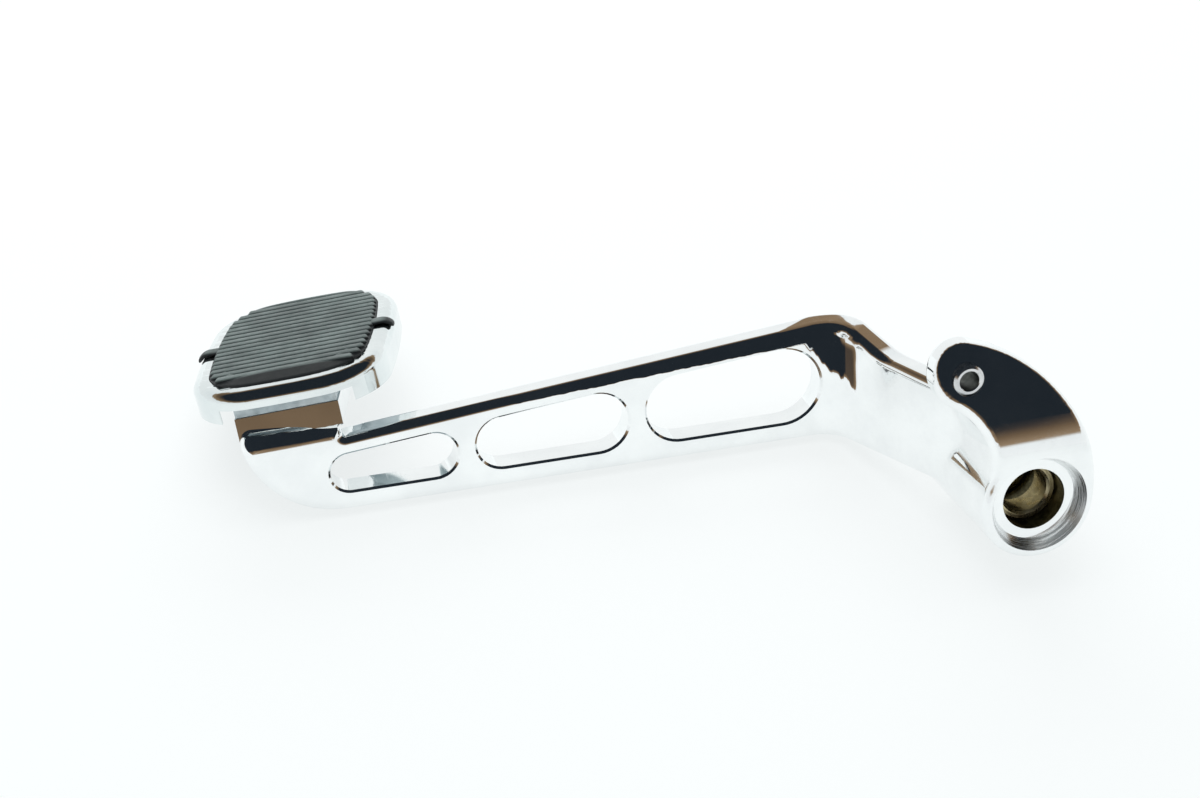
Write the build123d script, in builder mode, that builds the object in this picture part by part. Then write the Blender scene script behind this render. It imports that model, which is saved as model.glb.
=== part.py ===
from build123d import *
import os
from math import cos, hypot, radians, sin, sqrt, tan

# Rear brake pedal for the right side of a motorcycle, in millimetres.
# +X runs forward to the foot pad, +Y inboard along the pivot axis, +Z up.
# The origin lies on the pivot axis, halfway along the pivot boss.

# Pivot boss and its bushings
boss_radius = 19.9
boss_length = 54.0
counterbore_radius = 16.8
counterbore_floor_radius = 14.3
counterbore_depth = 4.8
housing_bore_radius = 11.0
pivot_shaft_radius = 7.94
pivot_running_gap = 0.04
bushing_length = 11.0
bushing_inset = 6.6
bushing_edge_break = 0.8
press_gap = 0.02

# Curved finger that pulls the master cylinder's clevis
finger_tip_x = 23.0
finger_tip_z = 45.6
finger_tip_radius = 10.8
finger_back_radius = 53.4
finger_front_radius = 22.0
finger_thickness = 10.5
finger_lean = 20.0
finger_lean_start_z = 17.0
finger_lean_bend_radius = 40.0
finger_root_z = 34.0
finger_root_round = 15.0
finger_ramp_round = 6.0
finger_edge_round = 2.8
clevis_pin_radius = 3.175
clevis_running_gap = 0.08
sleeve_wall = 1.98
sleeve_stand_proud = 1.8
sleeve_outer_break = 0.85
sleeve_mouth_break = 0.3

# Flat arm with three tapered slots
arm_offset = 61.0
arm_thickness = 11.0
arm_bottom_z = -6.2
arm_border = 6.6
arm_bottom_border = 7.6
arm_edge_round = 3.2
arm_top_slope = 0.094
slot_front_x = 223.8
slot_lengths = (45.0, 55.0, 65.0)
slot_rib = 6.8
slot_front_height = 13.4
slot_edge_break = 0.8

# Diagonal jog between the arm and the boss
jog_angle = 68.0
jog_bend_radius = 11.0
jog_slot_overlap = 3.0
jog_knee_run = 18.0
jog_knee_z = 32.0
jog_top_fall = 18.5
jog_end_fall = 2.5
jog_top_round = 30.0
jog_reach_x = 12.0
jog_root_round = 9.0

# Forward end of the arm: nose, shoulder and pad shelf
nose_x = 253.3
nose_radius = 34.4
nose_top_round = 4.5
shoulder_z = 27.4
shoulder_slope = 0.03
shoulder_rear_x = 218.5
shoulder_brow = 6.0
shoulder_round = 3.4
shoulder_root_round = 1.2
nose_root_x = 227.0
nose_root_depth = 12.0
nose_root_round = 8.0

# Seat of the foot pad: its middle, splay about Z and pitch down to the front
pad_setback = 27.3
pad_reach = 44.8
pad_seat_z = 32.8
pad_splay = 13.0
pad_pitch = 8.0
shelf_width = 36.6
shelf_forward = 0.8
shelf_near = 40.0
shelf_far = 25.0
shelf_thickness = 10.0
shelf_corner_round = 9.0
shelf_edge_round = 2.5
shelf_wall_lean = 11.0
shelf_wall_height = 8.0

# Chromed trim that frames the pad's rubber
pad_half_length = 29.2
pad_half_width = 37.4
pad_side_bulge = 2.6
pad_corner_round = 17.0
trim_margin = 6.3
trim_wall = 1.2
trim_top = 10.2
trim_skirt_bottom = -1.0
trim_roll_radius = 3.9
trim_opening_gap = 0.2
trim_notch_width = 47.0
trim_notch_gap = 0.2
trim_tab_width = 12.0
trim_tab_reach = 4.0

# Plated backing plate with its seat and stud
seat_thickness = 4.0
seat_setback = 0.4
plate_thickness = 2.0
plate_gap = 0.3

# Ribbed rubber with an ear over the trim at each end
rubber_flange_reach = 1.6
rubber_flange_gap = 0.2
rubber_border_rise = 0.4
rubber_near_slope = 5.5
rubber_edge_break = 0.9
rib_height = 1.5
rib_count = 17
rib_pitch = 3.9
rib_groove_width = 1.7
rib_groove_floor = 0.8
ear_width = 4.6
ear_thickness = 1.5
ear_root = 4.0
ear_gap = 0.15
ear_droop = 62.0

# Fastening of the pad under the shelf
stud_radius = 4.0
stud_tip_break = 0.8
stud_hole_gap = 0.3
stud_overrun = 3.0
stud_thread_gap = 0.05
washer_radius = 8.0
washer_thickness = 1.6
nut_across_flats = 13.0
nut_thickness = 6.5

# Derived places
rim_y = boss_length / 2
bushing_face_y = rim_y - counterbore_depth - bushing_inset
arm_near_y = -arm_offset
arm_far_y = arm_near_y - arm_thickness
slot_bottom_z = arm_bottom_z + arm_bottom_border
slot_rear_x = slot_front_x - sum(slot_lengths) - slot_rib * (len(slot_lengths) - 1)
bend_x = slot_rear_x + jog_slot_overlap
sleeve_radius = clevis_pin_radius + clevis_running_gap + sleeve_wall
splay, pitch, turn, lean = radians(pad_splay), radians(pad_pitch), radians(jog_angle), radians(finger_lean)
pad_seat = Plane(
    origin=(nose_x - pad_setback, arm_near_y - pad_reach, pad_seat_z),
    x_dir=(cos(pitch) * cos(splay), -cos(pitch) * sin(splay), -sin(pitch)),
    z_dir=(sin(pitch) * cos(splay), -sin(pitch) * sin(splay), cos(pitch)),
)
pad_axis = Axis(pad_seat.origin, pad_seat.z_dir)
stud_place = (shelf_forward, 0)
plate_bottom = seat_thickness
plate_top = plate_bottom + plate_thickness
trim_ceiling = trim_top - trim_wall
border_top = trim_top + rubber_border_rise
rib_near_y = pad_half_width - rubber_near_slope
rib_middle = pad_seat.from_local_coords((0, rib_near_y - rib_pitch * rib_count / 2, border_top))
roll_place = (pad_half_length + trim_margin - trim_roll_radius, trim_top - trim_roll_radius)


def slot_top_z(x):
    """Height of the line that caps the three slots."""
    return slot_bottom_z + slot_front_height + arm_top_slope * (slot_front_x - x)


def arm_top_z(x):
    """Height of the arm's top, one border above the slots."""
    return slot_top_z(x) + arm_border


def lean_y(z):
    """Inboard face of the finger at a height above its bend."""
    bend_end_z = finger_lean_start_z + finger_lean_bend_radius * sin(lean)
    bend_end_y = rim_y - finger_lean_bend_radius * (1 - cos(lean))
    return bend_end_y - (z - bend_end_z) * tan(lean)


def line_on_circle(start, slope, centre, radius):
    """Forward crossing of a sloping line and a circle."""
    rise = start[1] - centre[1] + slope * (centre[0] - start[0])
    along = (-slope * rise + sqrt((1 + slope**2) * radius**2 - rise**2)) / (1 + slope**2)
    return centre[0] + along, centre[1] + rise + slope * along


def circle_centre(near, near_distance, far, far_distance):
    """Point at the given distances from two points, to the right of the line between them."""
    span = hypot(far[0] - near[0], far[1] - near[1])
    along = (near_distance**2 - far_distance**2 + span**2) / (2 * span)
    aside = sqrt(near_distance**2 - along**2)
    ux, uy = (far[0] - near[0]) / span, (far[1] - near[1]) / span
    return near[0] + along * ux + aside * uy, near[1] + along * uy - aside * ux


def toward(start, end, distance):
    """Point at a distance from start on the way to end."""
    span = hypot(end[0] - start[0], end[1] - start[1])
    return (
        start[0] + distance * (end[0] - start[0]) / span,
        start[1] + distance * (end[1] - start[1]) / span,
    )


def arc_middle(centre, start, end, radius):
    """Middle of the shorter arc about a centre."""
    return toward(centre, ((start[0] + end[0]) / 2, (start[1] + end[1]) / 2), radius)


def pad_outline(margin):
    """Barrel-sided outline of the pad, grown by a margin."""
    length, width = pad_half_length + margin, pad_half_width + margin
    side_x, side_y = length - pad_side_bulge, width - pad_side_bulge
    with BuildSketch() as outline:
        with BuildLine():
            ThreePointArc((-side_x, side_y), (0, width), (side_x, side_y))
            ThreePointArc((side_x, side_y), (length, 0), (side_x, -side_y))
            ThreePointArc((side_x, -side_y), (0, -width), (-side_x, -side_y))
            ThreePointArc((-side_x, -side_y), (-length, 0), (-side_x, side_y))
        make_face()
        fillet(outline.vertices(), pad_corner_round + margin)
    return outline.sketch


def shelf_outline(gap):
    """Seat outline on the shelf, with a gap all round."""
    near, far = shelf_near - gap, -shelf_far + gap
    with BuildSketch() as outline:
        with Locations((shelf_forward, (near + far) / 2)):
            Rectangle(shelf_width - 2 * gap, near - far)
        fillet(outline.vertices().group_by(Axis.Y)[0], shelf_corner_round - gap)
    return outline.sketch


# The shoulder falls a little forward and ends on the nose's arc.
nose_low = (nose_x - nose_radius, arm_bottom_z)
nose_centre = (nose_x - nose_radius, arm_bottom_z + nose_radius)
shoulder_front = line_on_circle((shoulder_rear_x, shoulder_z), -shoulder_slope, nose_centre, nose_radius)
nose_middle = arc_middle(nose_centre, nose_low, shoulder_front, nose_radius)

# Boss and finger: a comma-shaped profile along the pivot axis, trimmed to the finger's lean
boss_centre, tip_centre = (0.0, 0.0), (finger_tip_x, finger_tip_z)
back_centre = circle_centre(
    boss_centre, finger_back_radius - boss_radius, tip_centre, finger_back_radius - finger_tip_radius
)
front_centre = circle_centre(
    boss_centre, finger_front_radius + boss_radius, tip_centre, finger_front_radius + finger_tip_radius
)
back_low = toward(boss_centre, back_centre, -boss_radius)
back_high = toward(tip_centre, back_centre, -finger_tip_radius)
front_high = toward(tip_centre, front_centre, finger_tip_radius)
front_low = toward(boss_centre, front_centre, boss_radius)
tip_mid = arc_middle(tip_centre, back_high, front_high, finger_tip_radius)
back_mid = arc_middle(back_centre, back_low, back_high, finger_back_radius)
front_mid = arc_middle(front_centre, front_high, front_low, finger_front_radius)
finger_top_z = finger_tip_z + 2 * finger_tip_radius
lean_end_z = finger_lean_start_z + finger_lean_bend_radius * sin(lean)
bend_mid = (
    rim_y - finger_lean_bend_radius * (1 - cos(lean / 2)),
    finger_lean_start_z + finger_lean_bend_radius * sin(lean / 2),
)

with BuildPart() as boss_finger:
    with BuildSketch(Plane.XZ):
        with BuildLine():
            ThreePointArc(back_low, back_mid, back_high)
            ThreePointArc(back_high, tip_mid, front_high)
            ThreePointArc(front_high, front_mid, front_low)
            ThreePointArc(front_low, (0, -boss_radius), back_low)
        make_face()
    extrude(amount=rim_y, both=True)
    with BuildSketch(Plane.YZ) as lean_profile:
        with BuildLine():
            Polyline((rim_y, -2 * boss_radius), (rim_y, finger_lean_start_z))
            ThreePointArc((rim_y, finger_lean_start_z), bend_mid, (lean_y(lean_end_z), lean_end_z))
            Polyline(
                (lean_y(lean_end_z), lean_end_z),
                (lean_y(finger_top_z), finger_top_z),
                (lean_y(finger_top_z) - finger_thickness, finger_top_z),
                (lean_y(finger_root_z) - finger_thickness, finger_root_z),
                (-rim_y, boss_radius),
                (-rim_y, -2 * boss_radius),
                (rim_y, -2 * boss_radius),
            )
        make_face()
        for corner, corner_round in (
            ((lean_y(finger_root_z) - finger_thickness, finger_root_z), finger_root_round),
            ((-rim_y, boss_radius), finger_ramp_round),
        ):
            fillet(lean_profile.vertices().sort_by_distance(corner)[0], corner_round)
    extrude(amount=4 * boss_radius, both=True, mode=Mode.INTERSECT)
    rims = boss_finger.edges().filter_by(Axis.X, reverse=True).filter_by(Axis.Y, reverse=True)
    fillet(rims, finger_edge_round)

# Arm and jog: the plan band trimmed to the side outline, edges rounded
along_jog = (-cos(turn), sin(turn))
bend_centre_y = arm_near_y + jog_bend_radius
far_bend_radius = jog_bend_radius + arm_thickness


def on_bend(radius, angle):
    """Point on the jog's bend at an angle turned from the arm."""
    return bend_x - radius * sin(angle), bend_centre_y - radius * cos(angle)


near_bend_end = on_bend(jog_bend_radius, turn)
far_bend_end = on_bend(far_bend_radius, turn)
jog_run = (near_bend_end[0] - jog_reach_x) / cos(turn)
near_jog_end = (near_bend_end[0] + jog_run * along_jog[0], near_bend_end[1] + jog_run * along_jog[1])
far_jog_end = (far_bend_end[0] + jog_run * along_jog[0], far_bend_end[1] + jog_run * along_jog[1])

jog_plane = Plane(
    origin=(near_bend_end[0], near_bend_end[1], 0),
    x_dir=(along_jog[0], along_jog[1], 0),
    z_dir=(along_jog[1], -along_jog[0], 0),
)
jog_lead = 3 * arm_thickness
shoulder_end = Plane((shoulder_rear_x, arm_near_y, shoulder_z), x_dir=(0, 1, 0), z_dir=(1, 0, 0))


def across_jog(edge):
    """Whether an edge of the open jog runs through its thickness."""
    way = (edge @ 1 - edge @ 0).normalized()
    return abs(way.dot(jog_plane.z_dir)) > cos(lean) and jog_reach_x < edge.center().X < bend_x


with BuildPart() as arm:
    with BuildSketch(Plane.XY) as plan:
        with BuildLine():
            Line((nose_x, arm_near_y), (bend_x, arm_near_y))
            ThreePointArc((bend_x, arm_near_y), on_bend(jog_bend_radius, turn / 2), near_bend_end)
            Polyline(near_bend_end, near_jog_end, far_jog_end, far_bend_end)
            ThreePointArc(far_bend_end, on_bend(far_bend_radius, turn / 2), (bend_x, arm_far_y))
            Polyline(
                (bend_x, arm_far_y),
                (nose_root_x, arm_far_y),
                (nose_root_x + nose_root_depth, arm_far_y - nose_root_depth),
                (nose_x, arm_far_y - nose_root_depth),
                (nose_x, arm_near_y),
            )
        make_face()
        for corner in (
            (nose_root_x, arm_far_y),
            (nose_root_x + nose_root_depth, arm_far_y - nose_root_depth),
        ):
            fillet(plan.vertices().sort_by_distance(corner)[0], nose_root_round)
    extrude(amount=2 * finger_top_z, both=True)
    with BuildSketch(Plane.XZ) as side:
        with BuildLine():
            Line((0, arm_bottom_z), nose_low)
            ThreePointArc(nose_low, nose_middle, shoulder_front)
            Polyline(
                shoulder_front,
                (shoulder_rear_x, shoulder_z),
                (shoulder_rear_x, arm_top_z(shoulder_rear_x)),
                (0, arm_top_z(0)),
                (0, arm_bottom_z),
            )
        make_face()
        for corner, corner_round in (
            ((shoulder_rear_x, arm_top_z(shoulder_rear_x)), shoulder_root_round),
            ((shoulder_rear_x, shoulder_z), shoulder_round),
            (shoulder_front, nose_top_round),
        ):
            fillet(side.vertices().sort_by_distance(corner)[0], corner_round)
    extrude(amount=2 * arm_offset, both=True, mode=Mode.INTERSECT)
    # The top of the jog falls away towards the boss.
    with BuildSketch(jog_plane):
        with BuildLine():
            Polyline(
                (jog_knee_run - jog_lead, jog_knee_z + jog_lead * tan(radians(jog_top_fall))),
                (jog_knee_run, jog_knee_z),
                (jog_run, jog_knee_z - (jog_run - jog_knee_run) * tan(radians(jog_end_fall))),
                (jog_run, 2 * finger_top_z),
                (jog_knee_run - jog_lead, 2 * finger_top_z),
                (jog_knee_run - jog_lead, jog_knee_z + jog_lead * tan(radians(jog_top_fall))),
            )
        make_face()
    extrude(amount=2 * arm_thickness, both=True, mode=Mode.SUBTRACT)
    crests = arm.edges().filter_by(GeomType.LINE).filter_by(across_jog)
    fillet(crests.filter_by(lambda edge: edge.center().Z > finger_lean_start_z), jog_top_round)
    long_edges = arm.edges().filter_by(Axis.Y, reverse=True).filter_by(Axis.Z, reverse=True)
    rim_edges = long_edges.filter_by(across_jog, reverse=True)
    rim_edges = rim_edges.filter_by(lambda edge: edge.center().X > jog_reach_x)
    fillet(rim_edges, arm_edge_round)
    # A broader round along the shoulder's near edge
    with BuildSketch(shoulder_end):
        with BuildLine():
            CenterArc((-shoulder_brow, -shoulder_brow), shoulder_brow, 0, 90)
            Polyline(
                (-shoulder_brow, 0),
                (-shoulder_brow, shoulder_brow),
                (shoulder_brow, shoulder_brow),
                (shoulder_brow, -shoulder_brow),
                (0, -shoulder_brow),
            )
        make_face()
    extrude(amount=2 * nose_radius, dir=(1, 0, -shoulder_slope), mode=Mode.SUBTRACT)

# Shelf under the foot pad
with BuildPart() as shelf:
    with BuildSketch(pad_seat):
        add(shelf_outline(0))
    extrude(amount=-shelf_thickness)
    underside = shelf.faces().sort_by(pad_axis)[0]
    fillet(underside.edges(), shelf_edge_round)
    # The near wall leans back from the shoulder.
    shelf_rear = pad_seat.from_local_coords((shelf_forward - shelf_width / 2, 0, 0))
    with BuildSketch(Plane(shelf_rear, pad_seat.y_dir, pad_seat.x_dir)):
        Polygon(
            (shelf_near, 0),
            (shelf_near, -shelf_wall_height),
            (shelf_near + shelf_wall_height * tan(radians(shelf_wall_lean)), -shelf_wall_height),
            align=None,
        )
    extrude(amount=shelf_width)

# The lever is one forging: arm, shelf, boss and finger, with its slots and bores
with BuildPart() as lever:
    add(arm.part)
    add(shelf.part)
    add(boss_finger.part)
    jog_root = lever.edges().filter_by(GeomType.ELLIPSE)
    jog_root = jog_root.filter_by(lambda edge: abs(jog_plane.to_local_coords(edge.center()).Z) < press_gap)
    fillet(jog_root, jog_root_round)
    slot_end_x = slot_front_x
    slope_length = hypot(1, arm_top_slope)
    with BuildSketch(Plane.XZ) as slots:
        for slot_length in slot_lengths:
            with BuildSketch(Plane.XZ, mode=Mode.PRIVATE) as slot:
                for end_x, way in ((slot_end_x, -1), (slot_end_x - slot_length, 1)):
                    # The end circle touches the slot's level bottom, its sloping top and its end.
                    height = slot_top_z(end_x) - slot_bottom_z
                    radius = height / (1 + slope_length + way * arm_top_slope)
                    with Locations((end_x + way * radius, slot_bottom_z + radius)):
                        Circle(radius)
                make_hull()
            add(slot.sketch)
            slot_end_x -= slot_length + slot_rib
    extrude(amount=2 * arm_offset, both=True, mode=Mode.SUBTRACT)
    slot_rims = lever.edges(Select.LAST).filter_by(Axis.Y, reverse=True).filter_by(Axis.Z, reverse=True)
    chamfer(slot_rims, slot_edge_break)
    with BuildSketch(Plane.XZ):
        Circle(housing_bore_radius)
    extrude(amount=boss_length, both=True, mode=Mode.SUBTRACT)
    with BuildSketch(Plane.XY):
        with BuildLine():
            Polyline(
                (0, rim_y),
                (counterbore_radius, rim_y),
                (counterbore_floor_radius, rim_y - counterbore_depth),
                (0, rim_y - counterbore_depth),
                (0, rim_y),
            )
        make_face()
        mirror(about=Plane.XZ)
    revolve(axis=Axis.Y, mode=Mode.SUBTRACT)
    with BuildSketch(Plane.XZ.offset(-rim_y)):
        with Locations(tip_centre):
            Circle(sleeve_radius + press_gap)
    extrude(amount=boss_length, mode=Mode.SUBTRACT)
    with BuildSketch(pad_seat):
        with Locations(stud_place):
            Circle(stud_radius + stud_hole_gap)
    extrude(amount=-2 * shelf_thickness, mode=Mode.SUBTRACT)


def pivot_bushing(way):
    """Flangeless bronze bushing pressed into one end of the boss."""
    with BuildPart() as bushing:
        with BuildSketch(Plane.XZ.offset(-way * bushing_face_y)):
            Circle(housing_bore_radius - press_gap)
            Circle(pivot_shaft_radius + pivot_running_gap, mode=Mode.SUBTRACT)
        extrude(amount=way * bushing_length)
        chamfer(bushing.edges().filter_by(GeomType.CIRCLE), bushing_edge_break)
    return bushing.part


# Steel sleeve for the clevis pin, pressed through the finger
with BuildPart() as sleeve:
    with BuildSketch(Plane.XZ.offset(-lean_y(finger_tip_z) - sleeve_stand_proud)):
        with Locations(tip_centre):
            Circle(sleeve_radius)
            Circle(clevis_pin_radius + clevis_running_gap, mode=Mode.SUBTRACT)
    extrude(amount=finger_thickness + sleeve_stand_proud)
    mouth, rim = sleeve.edges().group_by(Axis.Y)[-1].sort_by(SortBy.RADIUS)
    chamfer(mouth, sleeve_mouth_break)
    chamfer(rim, sleeve_outer_break)

# Backing plate: the seat on the shelf, the plate inside the trim and the welded stud
with BuildPart() as plate:
    with BuildSketch(pad_seat):
        add(shelf_outline(seat_setback))
    extrude(amount=seat_thickness)
    with BuildSketch(pad_seat.offset(plate_bottom)):
        add(pad_outline(trim_margin - trim_wall - plate_gap))
    extrude(amount=plate_thickness)
    with BuildSketch(pad_seat):
        with Locations(stud_place):
            Circle(stud_radius)
    extrude(amount=-shelf_thickness - washer_thickness - nut_thickness - stud_overrun)
    chamfer(plate.edges().filter_by(GeomType.CIRCLE).sort_by(pad_axis)[0], stud_tip_break)

with BuildPart() as washer:
    with BuildSketch(pad_seat.offset(-shelf_thickness)):
        with Locations(stud_place):
            Circle(washer_radius)
            Circle(stud_radius + stud_hole_gap, mode=Mode.SUBTRACT)
    extrude(amount=-washer_thickness)

with BuildPart() as nut:
    with BuildSketch(pad_seat.offset(-shelf_thickness - washer_thickness)):
        with Locations(stud_place):
            RegularPolygon(nut_across_flats / 2, 6, major_radius=False)
            Circle(stud_radius + stud_thread_gap, mode=Mode.SUBTRACT)
    extrude(amount=-nut_thickness)

# Trim: a pressed shell with a rolled edge, open over the rubber and notched for the lever's shelf
with BuildPart() as trim_cavity:
    with BuildSketch(pad_seat.offset(trim_skirt_bottom)):
        add(pad_outline(trim_margin - trim_wall))
    extrude(amount=trim_ceiling - trim_skirt_bottom)
    fillet(trim_cavity.faces().sort_by(pad_axis)[-1].edges(), trim_roll_radius - trim_wall)

with BuildPart() as trim:
    with BuildSketch(pad_seat.offset(trim_skirt_bottom)):
        add(pad_outline(trim_margin))
    extrude(amount=trim_top - trim_skirt_bottom)
    fillet(trim.faces().sort_by(pad_axis)[-1].edges(), trim_roll_radius)
    add(trim_cavity.part, mode=Mode.SUBTRACT)
    with BuildSketch(pad_seat.offset(trim_top)):
        add(pad_outline(trim_opening_gap))
    extrude(amount=-2 * trim_wall, mode=Mode.SUBTRACT)
    with BuildSketch(pad_seat.offset(plate_bottom + trim_notch_gap)):
        with Locations((0, pad_half_width + trim_margin)):
            Rectangle(trim_notch_width, pad_half_width)
    extrude(amount=-2 * trim_top, mode=Mode.SUBTRACT)
    # Tabs bent in under the backing plate at the front and the back
    with BuildSketch(pad_seat.offset(plate_bottom)):
        with Locations((pad_half_length + trim_margin - trim_wall, 0)):
            Rectangle(trim_tab_reach, trim_tab_width, align=(Align.MAX, Align.CENTER))
            Rectangle(trim_wall / 2, trim_tab_width, align=(Align.MIN, Align.CENTER))
        mirror(about=Plane.YZ)
    extrude(amount=-trim_wall)

# Rubber: a flange under the trim, a body through its opening, straight ribs and two ears
with BuildPart() as rubber:
    with BuildSketch(pad_seat.offset(plate_top)):
        add(pad_outline(rubber_flange_reach))
    extrude(amount=trim_ceiling - rubber_flange_gap - plate_top)
    with BuildSketch(pad_seat.offset(plate_top)):
        add(pad_outline(0))
    extrude(amount=border_top + rib_height - plate_top)
    chamfer(rubber.faces().sort_by(pad_axis)[-1].edges(), rubber_edge_break)
    with BuildSketch(Plane(rib_middle, pad_seat.y_dir, pad_seat.x_dir)):
        # The near border slopes down to the trim, and grooves part the ribs.
        with Locations((rib_pitch * rib_count / 2, 0)):
            Polygon(
                (rubber_near_slope, 0),
                (2 * rubber_near_slope, 0),
                (0, 2 * rib_height),
                (0, rib_height),
                align=None,
            )
        with GridLocations(rib_pitch, 1, rib_count + 1, 1):
            Polygon(
                (-rib_groove_floor / 2, 0),
                (rib_groove_floor / 2, 0),
                (rib_groove_width / 2, rib_height),
                (-rib_groove_width / 2, rib_height),
                align=None,
            )
    extrude(amount=2 * pad_half_length, both=True, mode=Mode.SUBTRACT)
    with BuildSketch(Plane(pad_seat.origin, pad_seat.x_dir, -pad_seat.y_dir)):
        with BuildLine():
            inner, outer = trim_roll_radius + ear_gap, trim_roll_radius + ear_gap + ear_thickness
            root_x = pad_half_length - ear_root
            lower = CenterArc(roll_place, inner, 90, -ear_droop)
            upper = CenterArc(roll_place, outer, 90, -ear_droop)
            Line(lower @ 1, upper @ 1)
            Polyline(upper @ 0, (root_x, roll_place[1] + outer), (root_x, roll_place[1] + inner), lower @ 0)
        make_face()
        mirror(about=Plane.YZ)
    extrude(amount=ear_width / 2, both=True)

pieces = {
    "brake_lever": lever.part,
    "inboard_pivot_bushing": pivot_bushing(1),
    "outboard_pivot_bushing": pivot_bushing(-1),
    "clevis_sleeve": sleeve.part,
    "pad_backing_plate": plate.part,
    "pad_washer": washer.part,
    "pad_nut": nut.part,
    "pad_trim": trim.part,
    "pad_rubber": rubber.part,
}
os.makedirs("parts", exist_ok=True)
for name, piece in pieces.items():
    piece.label = name
    export_step(piece, f"parts/{name}.step")
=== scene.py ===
import math

import bpy
from mathutils import Matrix, Vector


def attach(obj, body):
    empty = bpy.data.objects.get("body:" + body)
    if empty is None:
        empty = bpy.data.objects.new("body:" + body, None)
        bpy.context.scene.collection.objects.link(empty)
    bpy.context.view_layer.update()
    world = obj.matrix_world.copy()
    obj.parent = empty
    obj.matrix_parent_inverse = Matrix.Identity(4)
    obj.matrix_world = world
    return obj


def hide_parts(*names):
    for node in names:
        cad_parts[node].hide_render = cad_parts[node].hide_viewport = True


# Motorcycle rear brake pedal: chromed lever, bushed pivot, clevis finger and ribbed foot pad.
# Metres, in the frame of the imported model.

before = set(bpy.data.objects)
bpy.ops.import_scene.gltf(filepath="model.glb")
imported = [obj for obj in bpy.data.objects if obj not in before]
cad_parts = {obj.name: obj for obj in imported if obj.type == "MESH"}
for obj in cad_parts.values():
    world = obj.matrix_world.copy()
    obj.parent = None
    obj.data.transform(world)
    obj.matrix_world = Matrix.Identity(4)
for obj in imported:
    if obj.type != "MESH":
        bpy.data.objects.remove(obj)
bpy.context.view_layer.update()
scene = bpy.context.scene
scene.view_settings.view_transform = "Standard"

# Camera of the product shot, the table that the pedal lies on, and the room round it
camera_place = Vector((0.263794, 0.569655, 0.306344))
camera_right = Vector((-0.97007, 0.23607, -0.05683))
camera_up = Vector((-0.14601, -0.38013, 0.91334))
camera_back = Vector((0.19401, 0.8943, 0.40322))
camera_lens = 60.0
table_tilt = math.radians(17.1)
table_up = Vector((0.0, math.sin(table_tilt), math.cos(table_tilt)))
table_half_size = 1.5
table_middle = Vector((0.12, -0.03, 0.0))
table_glow = 0.75
room_lean = 0.2
pedal_middle = Vector((0.12, -0.05, 0.02))

# Foot pad: the frame of its seat, its outline and its rubber
pad_splay = math.radians(13.0)
pad_pitch = math.radians(8.0)
pad_along = Vector(
    (
        math.cos(pad_pitch) * math.cos(pad_splay),
        -math.cos(pad_pitch) * math.sin(pad_splay),
        -math.sin(pad_pitch),
    )
)
pad_rise = Vector(
    (
        math.sin(pad_pitch) * math.cos(pad_splay),
        -math.sin(pad_pitch) * math.sin(pad_splay),
        math.cos(pad_pitch),
    )
)
pad_across = pad_rise.cross(pad_along)
pad_seat = Vector((0.226, -0.1058, 0.0328))
pad_half_length = 0.0292
pad_half_width = 0.0374
pad_side_bulge = 0.0026
pad_corner_round = 0.017
trim_roll = 0.0039
trim_drawn_heights = (0.0055, 0.0075)
trim_roll_place = (0.0316, 0.0063)
rubber_bottom = 0.00605
flange_top = 0.0088
groove_floor = 0.0106
rib_height = 0.0015
rib_pitch = 0.0039
rib_count = 17
rib_step = 0.0006
near_border = 0.0055
near_border_ends = (0.016, 0.026)
far_lip = 0.0022
far_lip_rise = (0.0003, 0.001)
far_lip_ends = (0.028, 0.034)
ear_roots = (((0.025, 0.0107), 0.003), ((0.0272, 0.0109), 0.0026))
ear_gap = 0.00015
ear_half_thickness = 0.00075
ear_droop = math.radians(62.0)
ear_squareness = 0.6
ear_steps = 14
ear_tip_start = 10
ear_tip_length = 4.3

# Pivot boss and clevis sleeve, for the finishes inside their bores
housing_bore = 0.0113
counterbore_rim = 0.017
counterbore_floor = 0.0222
sleeve_place = (0.023, 0.0, 0.0456)
sleeve_bore = 0.0034
zone_edge = 0.0001

# The lever's bend, and the directions in which its jog and its tops run
forward = Vector((1.0, 0.0, 0.0))
inboard = Vector((0.0, 1.0, 0.0))
upward = Vector((0.0, 0.0, 1.0))
bend_corner = Vector((0.038, -0.0541, 0.0))
jog_angle = math.radians(22.0)
jog_along = Vector((-math.sin(jog_angle), math.cos(jog_angle), 0.0))
jog_out = Vector((math.cos(jog_angle), math.sin(jog_angle), 0.0))
over_arm_brow = upward + forward * 0.061
over_arm_top = upward + forward * 0.1137
over_jog_top = upward + jog_along * 0.33

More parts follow.
